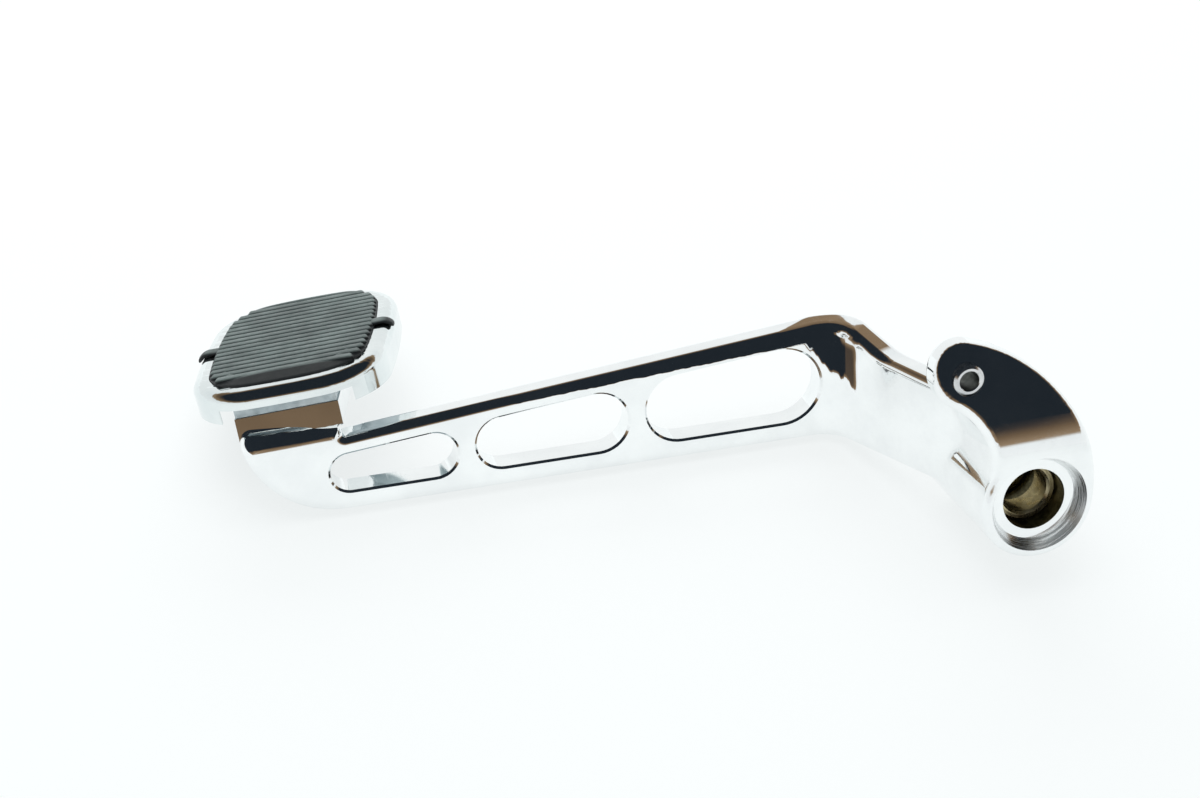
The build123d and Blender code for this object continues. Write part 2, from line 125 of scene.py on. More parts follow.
# Where polishing left the forging leaning off its plain faces: the lean, which is added to the face's
# normal, how far its edge wanders, the stretches that it lies in and the faces that it is kept to.
# A stretch is a direction with the distances from the bend's corner where the lean starts and where it
# is full. A face is a direction with the shares of it in the normal where the lean starts and is full.
off_far_face = (inboard, -0.0119, -0.0099)
level_faces = (upward, 0.84, 0.95)
forged_leans = {
    "arm_brow": {
        "lean": upward * 0.42,
        "wander": 0.001,
        "stretches": [
            (over_arm_brow, 0.032, 0.0326),
            (forward, 0.127, 0.117),
            (inboard, -0.0014, -0.0044),
            off_far_face,
        ],
        "faces": [],
    },
    "bend_brow": {
        "lean": upward * 0.62,
        "wander": 0.006,
        "stretches": [
            (upward - forward, 0.016, 0.02),
            (inboard, 0.0081, 0.0021),
            (over_arm_top, 0.0353, 0.0345),
            (over_jog_top, 0.03645, 0.03545),
            off_far_face,
        ],
        "faces": [],
    },
    "bend_crown": {
        "lean": forward * 0.72 + inboard * 1.9 + upward * 7.8,
        "wander": 0.002,
        "stretches": [
            (inboard * 1.78 - forward, -0.0388, -0.0348),
            (forward, -0.004, 0.0),
            (over_arm_top, 0.0345, 0.0353),
        ],
        "faces": [level_faces],
    },
    "jog_turn": {
        "lean": inboard * 0.42,
        "wander": 0.002,
        "stretches": [
            (jog_out, -0.0035, -0.0015),
            (jog_along, 0.022, 0.006),
            (jog_along, -0.008, -0.0016),
            (upward, 0.034, 0.03),
        ],
        "faces": [],
    },
}

# Depths of the marks in the finishes
lever_swell = 0.00025
trim_draw_lines = 0.00011
fine_marks = 0.0001


def put(tree, kind, place, **settings):
    """Add a node with its settings."""
    made = tree.nodes.new(kind)
    made.location = place
    for key, value in settings.items():
        setattr(made, key, value)
    return made


def fill(made, **values):
    """Set a node's unlinked inputs; an underscore in a name stands for a space."""
    for key, value in values.items():
        made.inputs[key.replace("_", " ")].default_value = value
    return made


def new_group(name, inputs, outputs):
    """Start a shader node group with named sockets."""
    tree = bpy.data.node_groups.new(name, "ShaderNodeTree")
    for label, kind, value in inputs:
        socket = tree.interface.new_socket(label, in_out="INPUT", socket_type=kind)
        if value is not None:
            socket.default_value = value
    for label, kind in outputs:
        tree.interface.new_socket(label, in_out="OUTPUT", socket_type=kind)
    entry = put(tree, "NodeGroupInput", (-1200, 0))
    leave = put(tree, "NodeGroupOutput", (1000, 0))
    return tree, entry, leave


def ramp(tree, place, stops):
    """Colour ramp from a list of positions and colours."""
    made = put(tree, "ShaderNodeValToRGB", place)
    band = made.color_ramp
    while len(band.elements) < len(stops):
        band.elements.new(0.5)
    for element, (position, colour) in zip(band.elements, stops):
        element.position = position
        element.color = (*colour, 1.0)
    return made


def fade(tree, place_at, value, low, high):
    """Smooth step from 0 at low to 1 at high."""
    step = put(tree, "ShaderNodeMapRange", place_at, interpolation_type="SMOOTHSTEP")
    fill(step, From_Min=low, From_Max=high)
    tree.links.new(value, step.inputs["Value"])
    return step.outputs["Result"]


def times(tree, place_at, first, second):
    """Product of two values."""
    product = put(tree, "ShaderNodeMath", place_at, operation="MULTIPLY")
    tree.links.new(first, product.inputs[0])
    tree.links.new(second, product.inputs[1])
    return product.outputs["Value"]


def handling_scratches():
    """Fine hairlines in three directions."""
    tree, entry, leave = new_group(
        "handling_scratches",
        [("Place", "NodeSocketVector", None), ("Density", "NodeSocketFloat", 0.5)],
        [("Lines", "NodeSocketFloat")],
    )
    total = None
    turns = ((0.3, 0.2, 0.9), (1.2, 2.1, 0.4), (2.4, 0.7, 1.7))
    for step, turn in enumerate(turns):
        low = -300 * step
        mapping = put(tree, "ShaderNodeMapping", (-900, low))
        fill(mapping, Rotation=turn, Scale=(5200.0, 160.0, 2600.0))
        noise = fill(put(tree, "ShaderNodeTexNoise", (-650, low)), Scale=1.0, Detail=1.0)
        tree.links.new(entry.outputs["Place"], mapping.inputs["Vector"])
        tree.links.new(mapping.outputs["Vector"], noise.inputs["Vector"])
        edge = fade(tree, (-400, low), noise.outputs["Fac"], 0.66, 0.74)
        if total is None:
            total = edge
            continue
        most = put(tree, "ShaderNodeMath", (-150, low), operation="MAXIMUM")
        tree.links.new(total, most.inputs[0])
        tree.links.new(edge, most.inputs[1])
        total = most.outputs["Value"]
    patch = fill(put(tree, "ShaderNodeTexNoise", (-650, 300)), Scale=55.0, Detail=2.0)
    where = fill(put(tree, "ShaderNodeMapRange", (-400, 300)), From_Min=0.35, From_Max=0.65)
    tree.links.new(entry.outputs["Place"], patch.inputs["Vector"])
    tree.links.new(patch.outputs["Fac"], where.inputs["Value"])
    inside = times(tree, (200, 100), total, where.outputs["Result"])
    tree.links.new(times(tree, (500, 100), inside, entry.outputs["Density"]), leave.inputs["Lines"])
    return tree


def worn_haze():
    """Soft cloudy mask for hand marks, polish and bloom."""
    tree, entry, leave = new_group(
        "worn_haze",
        [
            ("Place", "NodeSocketVector", None),
            ("Size", "NodeSocketFloat", 40.0),
            ("Low", "NodeSocketFloat", 0.0),
            ("High", "NodeSocketFloat", 1.0),
        ],
        [("Haze", "NodeSocketFloat")],
    )
    cloud = fill(put(tree, "ShaderNodeTexNoise", (-700, 0)), Detail=5.0, Roughness=0.62)
    spread = put(tree, "ShaderNodeMapRange", (-300, 0), interpolation_type="SMOOTHSTEP")
    fill(spread, From_Min=0.32, From_Max=0.68)
    tree.links.new(entry.outputs["Place"], cloud.inputs["Vector"])
    tree.links.new(entry.outputs["Size"], cloud.inputs["Scale"])
    tree.links.new(cloud.outputs["Fac"], spread.inputs["Value"])
    tree.links.new(entry.outputs["Low"], spread.inputs["To Min"])
    tree.links.new(entry.outputs["High"], spread.inputs["To Max"])
    tree.links.new(spread.outputs["Result"], leave.inputs["Haze"])
    return tree


def axis_distance(tree, place_at, place, centre):
    """Distance from an axis that runs along Y through a centre."""
    offset = put(tree, "ShaderNodeVectorMath", place_at, operation="SUBTRACT")
    offset.inputs[1].default_value = centre
    flat = put(tree, "ShaderNodeVectorMath", (place_at[0] + 180, place_at[1]), operation="MULTIPLY")
    flat.inputs[1].default_value = (1.0, 0.0, 1.0)
    reach = put(tree, "ShaderNodeVectorMath", (place_at[0] + 360, place_at[1]), operation="LENGTH")
    tree.links.new(place, offset.inputs[0])
    tree.links.new(offset.outputs["Vector"], flat.inputs[0])
    tree.links.new(flat.outputs["Vector"], reach.inputs[0])
    return reach.outputs["Value"]


def pivot_zones():
    """Masks of the pivot boss: the housing bore, where shade is painted, and the brushed wall of the
    counterbores.
    """
    tree, entry, leave = new_group(
        "pivot_zones",
        [("Place", "NodeSocketVector", None)],
        [("Bore", "NodeSocketFloat"), ("Wall", "NodeSocketFloat"), ("Brushing", "NodeSocketFloat")],
    )
    place = entry.outputs["Place"]
    radius = axis_distance(tree, (-1000, 200), place, (0.0, 0.0, 0.0))
    parts = put(tree, "ShaderNodeSeparateXYZ", (-1000, -100))
    tree.links.new(place, parts.inputs["Vector"])
    from_middle = put(tree, "ShaderNodeMath", (-800, -100), operation="ABSOLUTE")
    tree.links.new(parts.outputs["Y"], from_middle.inputs[0])
    out = from_middle.outputs["Value"]
    in_bore = fade(tree, (-400, 300), radius, housing_bore, housing_bore - zone_edge)
    in_rim = fade(tree, (-400, 50), radius, counterbore_rim, counterbore_rim - zone_edge)
    past_floor = fade(tree, (-400, -100), out, counterbore_floor, counterbore_floor + zone_edge)
    short_of_floor = fade(tree, (-400, -250), out, counterbore_floor, counterbore_floor - zone_edge)
    tree.links.new(times(tree, (0, 300), in_bore, short_of_floor), leave.inputs["Bore"])
    tree.links.new(times(tree, (0, 50), in_rim, past_floor), leave.inputs["Wall"])
    stretch = fill(put(tree, "ShaderNodeMapping", (-700, -450)), Scale=(60.0, 2600.0, 60.0))
    streaks = fill(put(tree, "ShaderNodeTexNoise", (-400, -450)), Scale=1.0, Detail=2.0)
    tree.links.new(place, stretch.inputs["Vector"])
    tree.links.new(stretch.outputs["Vector"], streaks.inputs["Vector"])
    tree.links.new(fade(tree, (0, -450), streaks.outputs["Fac"], 0.35, 0.65), leave.inputs["Brushing"])
    return tree


def forged_flow():
    """Soft brows and turns left by polishing, as leans of the surface."""
    tree, entry, leave = new_group(
        "forged_flow",
        [("Place", "NodeSocketVector", None), ("Normal", "NodeSocketVector", None)],
        [("Normal", "NodeSocketVector")],
    )
    place = entry.outputs["Place"]
    from_bend = put(tree, "ShaderNodeVectorMath", (-1100, 250), operation="SUBTRACT")
    from_bend.inputs[1].default_value = bend_corner
    tree.links.new(place, from_bend.inputs[0])
    upright = fill(put(tree, "ShaderNodeMapping", (-1100, 500)), Scale=(240.0, 240.0, 45.0))
    streaks = fill(put(tree, "ShaderNodeTexNoise", (-900, 500)), Scale=1.0, Detail=2.0)
    wander = put(tree, "ShaderNodeVectorMath", (-700, 500), operation="SUBTRACT")
    wander.inputs[1].default_value = (0.5, 0.5, 0.5)
    tree.links.new(place, upright.inputs["Vector"])
    tree.links.new(upright.outputs["Vector"], streaks.inputs["Vector"])
    tree.links.new(streaks.outputs["Color"], wander.inputs[0])
    normal = entry.outputs["Normal"]
    for row, turned in enumerate(forged_leans.values()):
        low = -300 * row
        offset = put(tree, "ShaderNodeVectorMath", (-1100, low), operation="SCALE")
        fill(offset, Scale=turned["wander"])
        moved = put(tree, "ShaderNodeVectorMath", (-900, low), operation="ADD")
        tree.links.new(wander.outputs["Vector"], offset.inputs[0])
        tree.links.new(from_bend.outputs["Vector"], moved.inputs[0])
        tree.links.new(offset.outputs["Vector"], moved.inputs[1])
        limits = [(moved.outputs["Vector"], stretch) for stretch in turned["stretches"]]
        limits += [(entry.outputs["Normal"], face) for face in turned["faces"]]
        mask = None
        for column, (source, (way, start, full)) in enumerate(limits):
            along = put(tree, "ShaderNodeVectorMath", (-700 + 220 * column, low), operation="DOT_PRODUCT")
            along.inputs[1].default_value = way
            tree.links.new(source, along.inputs[0])
            step = fade(tree, (-700 + 220 * column, low - 90), along.outputs["Value"], start, full)
            mask = step if mask is None else times(tree, (-600 + 220 * column, low - 180), mask, step)
        share = put(tree, "ShaderNodeVectorMath", (500, low), operation="SCALE")
        share.inputs[0].default_value = turned["lean"]
        tree.links.new(mask, share.inputs["Scale"])
        total = put(tree, "ShaderNodeVectorMath", (680, low), operation="ADD")
        tree.links.new(normal, total.inputs[0])
        tree.links.new(share.outputs["Vector"], total.inputs[1])
        normal = total.outputs["Vector"]
    unit = put(tree, "ShaderNodeVectorMath", (850, 0), operation="NORMALIZE")
    tree.links.new(normal, unit.inputs[0])
    tree.links.new(unit.outputs["Vector"], leave.inputs["Normal"])
    return tree


scratches = handling_scratches()
haze = worn_haze()
zones = pivot_zones()
flow = forged_flow()


def new_finish(name):
    """Start a material with its shader and object coordinates."""
    finish = bpy.data.materials.new(name)
    finish.use_nodes = True
    tree = finish.node_tree
    shader = tree.nodes["Principled BSDF"]
    place = put(tree, "ShaderNodeTexCoord", (-1300, 0)).outputs["Object"]
    return finish, tree, shader, place


def put_group(tree, group, place_at, place, **values):
    """Place a shared group in a material with its own values."""
    made = put(tree, "ShaderNodeGroup", place_at, node_tree=group)
    tree.links.new(place, made.inputs["Place"])
    return fill(made, **values)


def two_tone(tree, place_at, mask, first, second):
    """Mix two colours by a mask."""
    mix = put(tree, "ShaderNodeMix", place_at, data_type="RGBA")
    mix.inputs["A"].default_value = (*first, 1.0)
    mix.inputs["B"].default_value = (*second, 1.0)
    tree.links.new(mask, mix.inputs["Factor"])
    return mix.outputs["Result"]


def add_values(tree, place_at, first, second):
    """Sum of two values, kept between 0 and 1."""
    total = put(tree, "ShaderNodeMath", place_at, operation="ADD", use_clamp=True)
    tree.links.new(first, total.inputs[0])
    tree.links.new(second, total.inputs[1])
    return total.outputs["Value"]


def press_in(tree, place_at, height, shader, strength, distance, over=None):
    """Bump from a height, over another bump where one is given."""
    bump = put(tree, "ShaderNodeBump", place_at)
    bump.inputs["Strength"].default_value = strength
    bump.inputs["Distance"].default_value = distance
    tree.links.new(height, bump.inputs["Height"])
    if over is not None:
        tree.links.new(over, bump.inputs["Normal"])
    tree.links.new(bump.outputs["Normal"], shader.inputs["Normal"])
    return bump.outputs["Normal"]


def blend(tree, place_at, mask, first, second):
    """Mix two linked colours by a mask."""
    mix = put(tree, "ShaderNodeMix", place_at, data_type="RGBA")
    tree.links.new(mask, mix.inputs["Factor"])
    tree.links.new(first, mix.inputs["A"])
    tree.links.new(second, mix.inputs["B"])
    return mix.outputs["Result"]


def add_share(tree, place_at, mask, share, value):
    """A value raised by a share of a mask."""
    total = put(tree, "ShaderNodeMath", place_at, operation="MULTIPLY_ADD", use_clamp=True)
    total.inputs[1].default_value = share
    tree.links.new(mask, total.inputs[0])
    tree.links.new(value, total.inputs[2])
    return total.outputs["Value"]


def pad_distance(tree, place_at, place, way):
    """Distance from the pad's seat along one of its directions."""
    from_seat = put(tree, "ShaderNodeVectorMath", place_at, operation="SUBTRACT")
    from_seat.inputs[1].default_value = pad_seat
    tree.links.new(place, from_seat.inputs[0])
    along = put(tree, "ShaderNodeVectorMath", (place_at[0] + 180, place_at[1]), operation="DOT_PRODUCT")
    along.inputs[1].default_value = way
    tree.links.new(from_seat.outputs["Vector"], along.inputs[0])
    return along.outputs["Value"]


def pressed_chrome(name, dark, bright, mirror, density):
    """Polished chrome on a drawn pressing, with hand marks, hairlines and faint draw lines."""
    finish, tree, shader, place = new_finish(name)
    shader.inputs["Metallic"].default_value = 1.0
    marks = put_group(tree, haze, (-1000, 200), place, Size=46.0)
    polish = put_group(tree, haze, (-1000, -100), place, Size=130.0, Low=mirror, High=mirror + 0.035)
    lines = put_group(tree, scratches, (-1000, -400), place, Density=density)
    plate = two_tone(tree, (-600, 250), marks.outputs["Haze"], dark, bright)
    tree.links.new(plate, shader.inputs["Base Color"])
    rough = add_values(tree, (-600, -150), polish.outputs["Haze"], lines.outputs["Lines"])
    tree.links.new(rough, shader.inputs["Roughness"])
    drawn = put(tree, "ShaderNodeCombineXYZ", (-800, -700))
    scales = ((pad_along, 30.0), (pad_across, 420.0), (pad_rise, 420.0))
    for socket, (way, scale) in zip(drawn.inputs, scales):
        tree.links.new(pad_distance(tree, (-1200, -700), place, way * scale), socket)
    draw_lines = fill(put(tree, "ShaderNodeTexNoise", (-600, -700)), Scale=1.0, Detail=2.0)
    tree.links.new(drawn.outputs["Vector"], draw_lines.inputs["Vector"])
    rise = pad_distance(tree, (-1200, -950), place, pad_rise)
    on_roll = fade(tree, (-800, -950), rise, *trim_drawn_heights)
    depth = times(tree, (-600, -950), draw_lines.outputs["Fac"], on_roll)
    streaked = press_in(tree, (-450, -500), depth, shader, 1.0, trim_draw_lines)
    press_in(tree, (-300, -400), lines.outputs["Lines"], shader, 0.05, fine_marks, streaked)
    return finish


def lever_plating(name):
    """Chrome of the forged lever: slightly wavy, brushed in the counterbores, rougher in the pivot bore,
    where a dark brown shade is painted.
    """
    finish, tree, shader, place = new_finish(name)
    shader.inputs["Metallic"].default_value = 1.0
    marks = put_group(tree, haze, (-1000, 400), place, Size=46.0)
    polish = put_group(tree, haze, (-1000, 150), place, Size=130.0, Low=0.035, High=0.07)
    lines = put_group(tree, scratches, (-1000, -100), place, Density=0.16)
    pivot = put_group(tree, zones, (-1000, -300), place)
    bore_shade_cloud = put_group(tree, haze, (-1000, 650), place, Size=260.0)
    plate = two_tone(tree, (-600, 400), marks.outputs["Haze"], (0.885, 0.905, 0.91), (0.945, 0.965, 0.965))
    # Painted shade: the pivot bore is coloured dark brown, varied by a soft cloud.
    painted_bore_shade = two_tone(tree, (-600, 650), bore_shade_cloud.outputs["Haze"], (0.06, 0.055, 0.03), (0.24, 0.22, 0.13))
    colour = blend(tree, (-300, 500), pivot.outputs["Bore"], plate, painted_bore_shade)
    tree.links.new(colour, shader.inputs["Base Color"])
    rough = add_values(tree, (-700, 100), polish.outputs["Haze"], lines.outputs["Lines"])
    rough = add_share(tree, (-550, 100), pivot.outputs["Bore"], 0.34, rough)
    rough = add_share(tree, (-400, 100), pivot.outputs["Wall"], 0.14, rough)
    brushed = times(tree, (-700, -300), pivot.outputs["Wall"], pivot.outputs["Brushing"])
    rough = add_share(tree, (-250, 100), brushed, 0.22, rough)
    tree.links.new(rough, shader.inputs["Roughness"])
    leaning = put_group(tree, flow, (-700, -550), place)
    surface = put(tree, "ShaderNodeNewGeometry", (-1000, -650))
    tree.links.new(surface.outputs["Normal"], leaning.inputs["Normal"])
    swell = fill(put(tree, "ShaderNodeTexNoise", (-1000, -900)), Scale=30.0, Detail=1.0)
    tree.links.new(place, swell.inputs["Vector"])
    lean = leaning.outputs["Normal"]
    wavy = press_in(tree, (-450, -600), swell.outputs["Fac"], shader, 1.0, lever_swell, lean)
    press_in(tree, (-250, -600), lines.outputs["Lines"], shader, 0.05, fine_marks, wavy)
    return finish


def turned_metal(name, centre, dark, bright, rough_low, rough_high, ring_scale, bore):
    """Turned metal with lathe rings about the pivot axis's direction, much darker inside its bore."""
    finish, tree, shader, place = new_finish(name)
    shader.inputs["Metallic"].default_value = 1.0
    shift = fill(put(tree, "ShaderNodeMapping", (-1100, -300)), Location=[-value for value in centre])
    rings = put(tree, "ShaderNodeTexWave", (-850, -300), wave_type="RINGS", rings_direction="Y")
    fill(rings, Scale=ring_scale, Distortion=1.5, Detail=2.0, Detail_Scale=2.0)
    tree.links.new(place, shift.inputs["Vector"])
    tree.links.new(shift.outputs["Vector"], rings.inputs["Vector"])
    stain = put_group(tree, haze, (-1000, 200), place, Size=160.0)
    polish = put_group(tree, haze, (-1000, 0), place, Size=420.0, Low=rough_low, High=rough_high)
    metal = two_tone(tree, (-600, 250), stain.outputs["Haze"], dark, bright)
    # Inside the bore the colour is much darker.
    dark_bore_tone = two_tone(tree, (-600, 500), stain.outputs["Haze"], (0.025, 0.028, 0.026), (0.12, 0.13, 0.12))
    radius = axis_distance(tree, (-1200, 750), place, centre)
    inside = fade(tree, (-600, 750), radius, bore, bore - zone_edge)
    tree.links.new(blend(tree, (-300, 350), inside, metal, dark_bore_tone), shader.inputs["Base Color"])
    rough = add_share(tree, (-300, 0), inside, 0.2, polish.outputs["Haze"])
    tree.links.new(rough, shader.inputs["Roughness"])
    press_in(tree, (-300, -300), rings.outputs["Fac"], shader, 0.15, fine_marks)
    return finish


def zinc(name):
    """Blue-grey zinc plating with a crystalline mottle."""
    finish, tree, shader, place = new_finish(name)
    shader.inputs["Metallic"].default_value = 1.0
    grain = put(tree, "ShaderNodeTexVoronoi", (-1000, 350))
    fill(grain, Scale=900.0)
    tree.links.new(place, grain.inputs["Vector"])
    stain = put_group(tree, haze, (-1000, 50), place, Size=120.0, Low=0.1, High=0.9)
    polish = put_group(tree, haze, (-1000, -200), place, Size=300.0, Low=0.28, High=0.46)
    colour = two_tone(tree, (-600, 250), stain.outputs["Haze"], (0.36, 0.43, 0.46), (0.58, 0.64, 0.66))
    tree.links.new(colour, shader.inputs["Base Color"])
    tree.links.new(polish.outputs["Haze"], shader.inputs["Roughness"])
    press_in(tree, (-300, -300), grain.outputs["Distance"], shader, 0.12, fine_marks)
    return finish


def moulded_rubber(name):
    """Black rubber with a grey bloom on the rib tops and a fine moulded grain."""
    finish, tree, shader, place = new_finish(name)
    shader.inputs["Specular IOR Level"].default_value = 0.4
    height = pad_distance(tree, (-1100, 600), place, pad_rise)
    across = pad_distance(tree, (-1100, 450), place, pad_across)
    flank = groove_floor + 0.4 * rib_height
    crest = groove_floor + 0.95 * rib_height
    on_border = pad_half_width - 0.9 * near_border
    past_border = pad_half_width - 1.15 * near_border
    rib_top = fade(tree, (-700, 600), height, flank, crest)
    off_border = fade(tree, (-700, 450), across, on_border, past_border)
    cloud = put_group(tree, haze, (-1000, 200), place, Size=60.0, Low=0.55, High=1.0)
    worn = times(tree, (-450, 550), rib_top, off_border)
    bloom = times(tree, (-250, 450), worn, cloud.outputs["Haze"])
    colour = two_tone(tree, (-50, 350), bloom, (0.02, 0.0235, 0.025), (0.135, 0.172, 0.165))
    dull = put_group(tree, haze, (-1000, 0), place, Size=200.0, Low=0.38, High=0.58)
    grain = put(tree, "ShaderNodeTexNoise", (-1000, -250))
    fill(grain, Scale=2600.0, Detail=3.0)
    tree.links.new(place, grain.inputs["Vector"])
    tree.links.new(colour, shader.inputs["Base Color"])
    tree.links.new(dull.outputs["Haze"], shader.inputs["Roughness"])
    press_in(tree, (-300, -250), grain.outputs["Fac"], shader, 0.2, fine_marks)
    return finish


lever_chrome = lever_plating("lever_chrome")
trim_chrome = pressed_chrome("trim_chrome", (0.75, 0.8, 0.805), (0.83, 0.87, 0.87), 0.045, 0.1)
bushing_bronze = turned_metal(
    "bushing_bronze", (0.0, 0.0, 0.0), (0.36, 0.3, 0.16), (0.62, 0.55, 0.36), 0.22, 0.42, 260.0, 0.0
)
sleeve_steel = turned_metal(
    "sleeve_steel", sleeve_place, (0.6, 0.61, 0.62), (0.78, 0.79, 0.8), 0.14, 0.26, 420.0, sleeve_bore
)
plate_zinc = zinc("plate_zinc")
pad_rubber = moulded_rubber("pad_rubber")

node_finish = {
    "brake_lever": lever_chrome,
    "inboard_pivot_bushing": bushing_bronze,
    "outboard_pivot_bushing": bushing_bronze,
    "clevis_sleeve": sleeve_steel,
    "pad_backing_plate": plate_zinc,
    "pad_washer": plate_zinc,
    "pad_nut": plate_zinc,
    "pad_trim": trim_chrome,
    "pad_rubber": pad_rubber,
}
for node_name, finish in node_finish.items():
    slots = bpy.data.objects[node_name].material_slots
    for slot in slots:
        slot.material = finish


def pad_arcs(margin):
    """Barrel-sided outline grown by a margin: its two long arcs and the corner that touches both."""
    length, width, corner = pad_half_length + margin, pad_half_width + margin, pad_corner_round + margin
    side_y, end_x = width - pad_side_bulge, length - pad_side_bulge
    side_radius = (side_y**2 + pad_side_bulge**2) / (2 * pad_side_bulge)
    end_radius = (end_x**2 + pad_side_bulge**2) / (2 * pad_side_bulge)
    side_centre = Vector((length - side_radius, 0.0))
    end_centre = Vector((0.0, width - end_radius))
    way = (end_centre - side_centre).normalized()
    span = (end_centre - side_centre).length
    reach = ((side_radius - corner) ** 2 - (end_radius - corner) ** 2 + span**2) / (2 * span)
    aside = math.sqrt((side_radius - corner) ** 2 - reach**2)
    corner_centre = side_centre + way * reach + Vector((-way.y, way.x)) * aside
    return (side_centre, side_radius), (corner_centre, corner), (end_centre, end_radius)


def turn_from(centre, point):
    """Angle of a point about a centre."""
    return math.atan2(point.y - centre.y, point.x - centre.x)


def pad_ring(margin):
    """Closed ring of points on the pad's outline, starting at the middle of the front."""
    side, corner, end = pad_arcs(margin)
    side_turn = turn_from(side[0], corner[0])
    end_turn = turn_from(end[0], corner[0])
    stretches = (
        (side, 0.0, side_turn, 12),
        (corner, side_turn, end_turn, 16),
        (end, end_turn, math.pi / 2, 12),
    )
    quarter = []
    for (centre, radius), start, stop, steps in stretches:
        for step in range(steps):
            turn = start + (stop - start) * step / steps
            quarter.append((centre.x + radius * math.cos(turn), centre.y + radius * math.sin(turn)))
    top = (0.0, pad_half_width + margin)
    ring = quarter + [top]
    ring += [(-x, y) for x, y in reversed(quarter)]
    ring += [(-x, -y) for x, y in quarter[1:]] + [(0.0, -top[1])]
    ring += [(x, -y) for x, y in reversed(quarter[1:])]
    return ring


def smooth(value, low, high):
    """Smooth step between two values."""
    share = min(max((value - low) / (high - low), 0.0), 1.0)
    return share * share * (3 - 2 * share)


def rubber_top(inset, y):
    """Height of the rubber's top: the sloping near border, the far lip and the floor of the grooves."""
    near = smooth(y, *near_border_ends) * min(inset / near_border, 1.0)
    near *= 1 - smooth(inset, near_border, 1.12 * near_border)
    far = smooth(-y, *far_lip_ends) * smooth(inset, *far_lip_rise)
    far *= 1 - smooth(inset, far_lip, 1.2 * far_lip)
    return groove_floor + rib_height * max(near, far)


def rubber_body():
    """Moulded base of the pad: flange, body, borders and the two ears over the trim."""
    points, faces = [], []
    walls = [
        (0.0014, rubber_bottom),
        (0.0016, rubber_bottom + 0.0003),
        (0.0016, flange_top - 0.0002),
        (0.0014, flange_top),
        (0.0, flange_top),
        (0.0, groove_floor - 0.0006),
        (-0.00012, groove_floor - 0.0002),
    ]
    insets = [0.0004, 0.0009, 0.0015, 0.0022, 0.0027, 0.0036, 0.0045, 0.0052, 0.0055, 0.0059, 0.0064]
    rings = [[(x, y, height) for x, y in pad_ring(margin)] for margin, height in walls]
    for inset in insets:
        rings.append([(x, y, rubber_top(inset, y)) for x, y in pad_ring(-inset)])
    size = len(rings[0])
    for ring in rings:
        points += ring
    for row in range(len(rings) - 1):
        for step in range(size):
            after = (step + 1) % size
            low, high = row * size, (row + 1) * size
            faces.append((low + step, low + after, high + after, high + step))
    faces.append(tuple(reversed(range(size))))
    faces.append(tuple(range((len(rings) - 1) * size, len(rings) * size)))
    for side in (1, -1):
        add_ear(points, faces, side)
    mesh = bpy.data.meshes.new("pad_rubber_body")
    mesh.from_pydata(points, [], faces)
    return mesh


def add_ear(points, faces, side):
    """Strap of rubber from the body over the trim's roll, thinning to a round tip."""
    radius = trim_roll + ear_gap + ear_half_thickness
    stations = [(place, math.pi / 2, half_width, 1.0) for place, half_width in ear_roots]
    for step in range(ear_steps + 1):
        turn = math.pi / 2 - ear_droop * step / ear_steps
        place = (trim_roll_place[0] + radius * math.cos(turn), trim_roll_place[1] + radius * math.sin(turn))
        tip = math.sqrt(max(1 - (max(step - ear_tip_start, 0) / ear_tip_length) ** 2, 0.02))
        stations.append((place, turn, 0.0023 - 0.00002 * step, tip))
    around = 20
    first = len(points)
    for (x, height), turn, half_width, tip in stations:
        for step in range(around):
            angle = 2 * math.pi * step / around
            cosine = math.cos(angle)
            sine = math.sin(angle)
            across = math.copysign(abs(cosine) ** ear_squareness, cosine) * half_width * (0.5 + 0.5 * tip)
            out = math.copysign(abs(sine) ** ear_squareness, sine) * ear_half_thickness * tip
            points.append((side * (x + out * math.cos(turn)), across, height + out * math.sin(turn)))
    for row in range(len(stations) - 1):
        for step in range(around):
            after = (step + 1) % around
            low, high = first + row * around, first + (row + 1) * around
            face = (low + step, low + after, high + after, high + step)
            faces.append(face if side > 0 else tuple(reversed(face)))
    last = first + (len(stations) - 1) * around
    root, tip_face = tuple(range(first, first + around)), tuple(range(last, last + around))
    faces.append(tuple(reversed(root)) if side > 0 else root)
    faces.append(tip_face if side > 0 else tuple(reversed(tip_face)))


